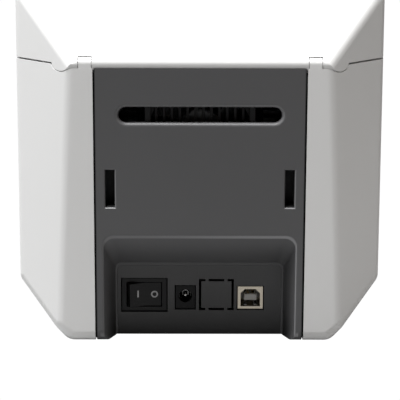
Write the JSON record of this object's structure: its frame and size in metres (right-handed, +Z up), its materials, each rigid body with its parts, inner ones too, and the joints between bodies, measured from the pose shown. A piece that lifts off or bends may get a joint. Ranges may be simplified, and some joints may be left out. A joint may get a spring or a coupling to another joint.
{
  "type": "id card printer",
  "caption": "Desktop ID card printer with a hinged lid, ribbon cartridge, geared card rollers, card hopper, outlet door and a recessed connector panel.",
  "frame": {"origin": "on the table under the middle of the body", "axes": "+Z up, +Y towards the back with the connectors, +X to the side of the power switch"},
  "size_m": [0.1694, 0.36, 0.205],
  "materials": {
    "white_plastic": "fine spark-eroded texture",
    "dark_plastic": "fine spark-eroded texture",
    "black_plastic": "satin",
    "gloss_strip": "polished",
    "smoked_window": "clear smoked, polished",
    "inner_plastic": "satin moulding",
    "silver_plastic": "satin",
    "steel": "zinc plated",
    "bright_steel": "ground",
    "aluminium": "extruded",
    "foot_rubber": "moulded",
    "roller_rubber": "ground",
    "clean_rubber": "tacky, smooth",
    "gear_plastic": "moulded",
    "board_green": "solder mask",
    "chip_black": "moulded",
    "tongue_grey": "moulded",
    "lens": "frosted",
    "brass": "turned",
    "film": "coated film",
    "ceramic": "glazed strip",
    "belt_rubber": "toothed belt"
  },
  "bodies": {
    "base": {"left_shell": "white_plastic", "right_shell": "white_plastic", "rear_cover": "dark_plastic", "front_bezel": "dark_plastic", "base_tray": "inner_plastic", "rubber_feet": "foot_rubber", "left_side_plate": "steel", "right_side_plate": "steel", "tie_bars": "bright_steel", "card_guide": "steel", "card_hopper": "inner_plastic", "shaft_bushes": "gear_plastic", "main_board": "board_green", "board_components": "chip_black", "usb_shell": "bright_steel", "usb_insulator": "tongue_grey", "power_inlet": "black_plastic", "metal_contacts": "bright_steel", "switch_housing": "black_plastic", "fan_frame": "black_plastic", "fan_guard": "black_plastic", "hinge_pins": "bright_steel", "transport_motor": "steel", "ribbon_motor": "steel", "control_board": "board_green", "status_strip": "gloss_strip", "led_lenses": "lens", "case_screws": "bright_steel", "cartridge_frame": "inner_plastic", "ribbon_film": "film", "output_tray": "inner_plastic", "timing_belt": "belt_rubber"},
    "lid": {"lid_shell": "white_plastic", "lid_window": "smoked_window", "lid_frame": "inner_plastic", "head_bracket": "steel", "head_springs": "bright_steel"},
    "print_head": {"head_heat_sink": "aluminium", "head_ceramic": "ceramic"},
    "release": {"release_button": "dark_plastic"},
    "latch": {"latch_hook": "silver_plastic"},
    "platen": {"platen_roller": "roller_rubber", "platen_gear": "gear_plastic"},
    "rear_transport": {"rear_roller": "roller_rubber"},
    "front_transport": {"front_roller": "roller_rubber"},
    "picker": {"pick_roller": "roller_rubber"},
    "cleaner": {"cleaning_roller": "clean_rubber"},
    "pinch": {"pinch_roller": "roller_rubber"},
    "rear_idler": {"rear_idler_gear": "gear_plastic"},
    "front_idler": {"front_idler_gear": "gear_plastic"},
    "reduction": {"reduction_gear": "gear_plastic"},
    "pinion": {"motor_pinion": "brass"},
    "supply": {"supply_spool": "film"},
    "takeup": {"takeup_spool": "film"},
    "ribbon_drive": {"ribbon_drive_gear": "gear_plastic"},
    "fan": {"fan_rotor": "black_plastic"},
    "power_rocker": {"switch_rocker": "black_plastic"},
    "control": {"control_button": "silver_plastic"},
    "door": {"outlet_door": "dark_plastic"},
    "weight": {"card_weight": "steel"}
  },
  "joints": [
    {"name": "lid_hinge", "type": "hinge", "parent": "base", "child": "lid", "pos_m": [0, 0.1765, 0.1328], "axis": [-1, 0, 0], "range_deg": [0, 85]},
    {"name": "head_slide", "type": "slide", "parent": "lid", "child": "print_head", "axis": [0, 0, 1], "range_m": [0, 0.001], "stiffness_N_per_m": 2000, "springref_m": -0.002, "deforming": ["head_springs"]},
    {"name": "release_press", "type": "slide", "parent": "base", "child": "release", "axis": [0, 1, 0], "range_m": [0, 0.003], "stiffness_N_per_m": 400, "springref_m": -0.002},
    {"name": "latch_turn", "type": "hinge", "parent": "base", "child": "latch", "pos_m": [0, -0.1635, 0.104], "axis": [-1, 0, 0], "range_deg": [0, 10.5]},
    {"name": "platen_spin", "type": "hinge", "parent": "base", "child": "platen", "pos_m": [0, 0, 0.087], "axis": [1, 0, 0], "continuous": true},
    {"name": "rear_roller_spin", "type": "hinge", "parent": "base", "child": "rear_transport", "pos_m": [0, 0.038, 0.087], "axis": [1, 0, 0], "continuous": true},
    {"name": "front_roller_spin", "type": "hinge", "parent": "base", "child": "front_transport", "pos_m": [0, -0.038, 0.087], "axis": [1, 0, 0], "continuous": true},
    {"name": "pick_spin", "type": "hinge", "parent": "base", "child": "picker", "pos_m": [0, 0.088, 0.087], "axis": [1, 0, 0], "continuous": true},
    {"name": "cleaning_spin", "type": "hinge", "parent": "base", "child": "cleaner", "pos_m": [0, 0.038, 0.1013], "axis": [1, 0, 0], "continuous": true},
    {"name": "pinch_spin", "type": "hinge", "parent": "base", "child": "pinch", "pos_m": [0, -0.038, 0.1003], "axis": [1, 0, 0], "continuous": true},
    {"name": "rear_idler_spin", "type": "hinge", "parent": "base", "child": "rear_idler", "pos_m": [0, 0.019, 0.087], "axis": [1, 0, 0], "continuous": true},
    {"name": "front_idler_spin", "type": "hinge", "parent": "base", "child": "front_idler", "pos_m": [0, -0.019, 0.087], "axis": [1, 0, 0], "continuous": true},
    {"name": "reduction_spin", "type": "hinge", "parent": "base", "child": "reduction", "pos_m": [0, 0, 0.068], "axis": [1, 0, 0], "continuous": true},
    {"name": "pinion_spin", "type": "hinge", "parent": "base", "child": "pinion", "pos_m": [0, 0, 0.041], "axis": [1, 0, 0], "continuous": true},
    {"name": "takeup_spin", "type": "hinge", "parent": "base", "child": "takeup", "pos_m": [0, -0.034, 0.128], "axis": [1, 0, 0], "continuous": true},
    {"name": "supply_spin", "type": "hinge", "parent": "base", "child": "supply", "pos_m": [0, 0.034, 0.128], "axis": [1, 0, 0], "continuous": true},
    {"name": "ribbon_drive_spin", "type": "hinge", "parent": "base", "child": "ribbon_drive", "pos_m": [0, -0.05009, 0.1145], "axis": [1, 0, 0], "continuous": true},
    {"name": "fan_spin", "type": "hinge", "parent": "base", "child": "fan", "pos_m": [0, 0.165, 0.0997], "axis": [0, 1, 0], "continuous": true},
    {"name": "rocker_turn", "type": "hinge", "parent": "base", "child": "power_rocker", "pos_m": [0.0259, 0.1643, 0.021], "axis": [0, 0, -1], "range_deg": [0, 24]},
    {"name": "control_press", "type": "slide", "parent": "base", "child": "control", "axis": [0, 1, 0], "range_m": [0, 0.001], "stiffness_N_per_m": 600, "springref_m": -0.0005},
    {"name": "door_turn", "type": "hinge", "parent": "base", "child": "door", "pos_m": [0, -0.1765, 0.053], "axis": [1, 0, 0], "range_deg": [0, 82]},
    {"name": "weight_slide", "type": "slide", "parent": "base", "child": "weight", "axis": [0, 0, 1], "range_m": [0, 0.046]}
  ],
  "couplings": [
    {"joint": "rear_idler_spin", "follows": "platen_spin", "ratio": -1.375},
    {"joint": "front_idler_spin", "follows": "platen_spin", "ratio": -1.375},
    {"joint": "rear_roller_spin", "follows": "platen_spin", "ratio": 1},
    {"joint": "front_roller_spin", "follows": "platen_spin", "ratio": 1},
    {"joint": "pick_spin", "follows": "platen_spin", "ratio": 1},
    {"joint": "cleaning_spin", "follows": "platen_spin", "ratio": -1.3333},
    {"joint": "pinch_spin", "follows": "platen_spin", "ratio": -1.6},
    {"joint": "reduction_spin", "follows": "platen_spin", "ratio": -1.375},
    {"joint": "pinion_spin", "follows": "platen_spin", "ratio": 3.9286},
    {"joint": "supply_spin", "follows": "takeup_spin", "ratio": 0.66667},
    {"joint": "ribbon_drive_spin", "follows": "takeup_spin", "ratio": -0.75},
    {"joint": "latch_turn", "follows": "release_press", "rad_per_m": 60.606}
  ]
}
